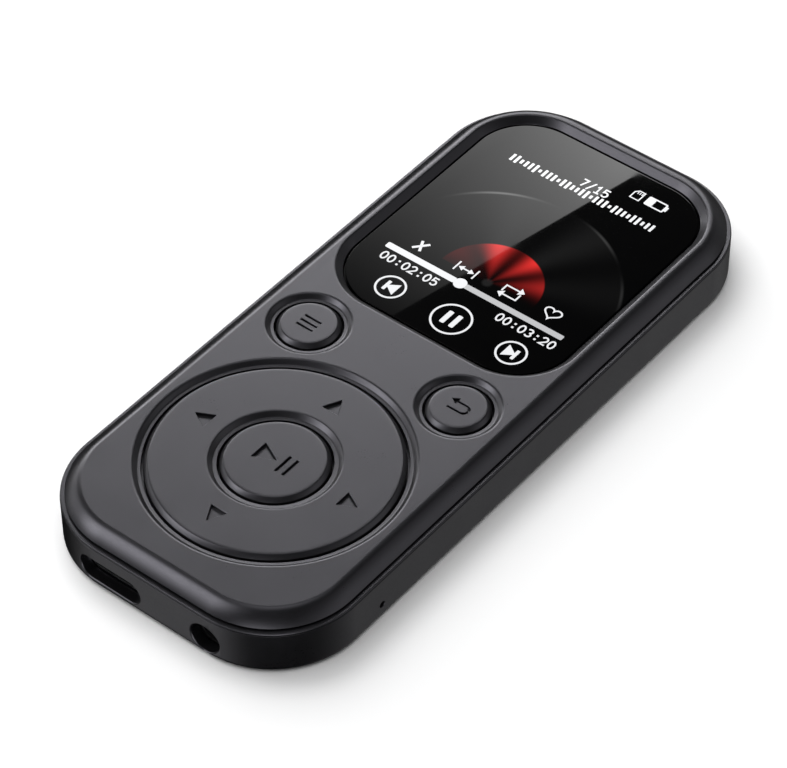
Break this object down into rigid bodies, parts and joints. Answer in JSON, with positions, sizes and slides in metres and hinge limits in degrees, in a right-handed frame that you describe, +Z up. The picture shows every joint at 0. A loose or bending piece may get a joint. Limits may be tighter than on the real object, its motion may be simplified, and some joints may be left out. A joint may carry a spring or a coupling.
{
  "type": "digital audio player",
  "caption": "Pocket digital audio player with a rounded case, a display window, a rocking control wheel around a play button, small round buttons, and charging and headphone sockets.",
  "frame": {"origin": "on the surface the player lies on, under the middle of the case", "axes": "+X to the player's right, +Y towards its display end, +Z up out of its face"},
  "size_m": [0.0412, 0.0958, 0.0086],
  "materials": {
    "case_black": "fine satin, moulded",
    "key_black": "fine satin, moulded",
    "lens_glass": "polished",
    "display": "glossy film",
    "white_plastic": "moulded",
    "black_plastic": "moulded",
    "red_sleeve": "extruded sleeve",
    "steel": "stamped, plated",
    "foam": "soft foam",
    "flex_film": "polyimide film",
    "board_green": "solder mask",
    "epoxy": "moulded package",
    "ferrite": "pressed ferrite",
    "battery_foil": "crimped foil"
  },
  "bodies": {
    "player_body": {"front_shell": "case_black", "back_shell": "case_black", "display_lens": "lens_glass", "lens_gasket": "foam", "lcd_panel": "display", "lcd_backlight": "white_plastic", "lcd_tray": "steel", "lcd_connector": "white_plastic", "lcd_flex": "flex_film", "dome_up": "steel", "dome_down": "steel", "dome_left": "steel", "dome_right": "steel", "dome_play": "steel", "dome_menu": "steel", "dome_return": "steel", "main_board": "board_green", "main_processor": "epoxy", "flash_memory": "epoxy", "audio_codec": "epoxy", "power_chip": "epoxy", "crystal": "steel", "inductor": "ferrite", "battery_connector": "white_plastic", "battery_cell": "battery_foil", "battery_pad": "foam", "battery_guard_board": "board_green", "battery_lead_red": "red_sleeve", "battery_lead_black": "black_plastic", "usb_c_shell": "steel", "usb_c_tongue": "black_plastic", "headphone_jack": "black_plastic", "card_socket": "steel", "microphone": "steel", "microphone_boot": "foam", "board_screw_1": "steel", "board_screw_2": "steel", "board_screw_3": "steel", "board_screw_4": "steel"},
    "pivot_ring_body": {"wheel_pivot_ring": "steel"},
    "wheel_body": {"control_wheel": "key_black"},
    "play_button_body": {"play_button": "key_black"},
    "menu_button_body": {"menu_button": "key_black"},
    "return_button_body": {"return_button": "key_black"},
    "card_body": {"memory_card": "black_plastic"}
  },
  "joints": [
    {"name": "wheel_rock_x", "type": "hinge", "parent": "player_body", "child": "pivot_ring_body", "pos_m": [0, -0.02516, 0.0064], "axis": [1, 0, 0], "range_deg": [-1, 1], "stiffness_Nm_per_rad": 1.4},
    {"name": "wheel_rock_y", "type": "hinge", "parent": "pivot_ring_body", "child": "wheel_body", "pos_m": [0, -0.02516, 0.0064], "axis": [0, 1, 0], "range_deg": [-1, 1], "stiffness_Nm_per_rad": 1.4},
    {"name": "play_press", "type": "slide", "parent": "player_body", "child": "play_button_body", "axis": [0, 0, -1], "range_m": [0, 0.00025], "stiffness_N_per_m": 3000},
    {"name": "menu_press", "type": "slide", "parent": "player_body", "child": "menu_button_body", "axis": [0, 0, -1], "range_m": [0, 0.00025], "stiffness_N_per_m": 3000},
    {"name": "return_press", "type": "slide", "parent": "player_body", "child": "return_button_body", "axis": [0, 0, -1], "range_m": [0, 0.00025], "stiffness_N_per_m": 3000},
    {"name": "card_slide", "type": "slide", "parent": "player_body", "child": "card_body", "axis": [-1, 0, 0], "range_m": [0, 0.012]}
  ]
}
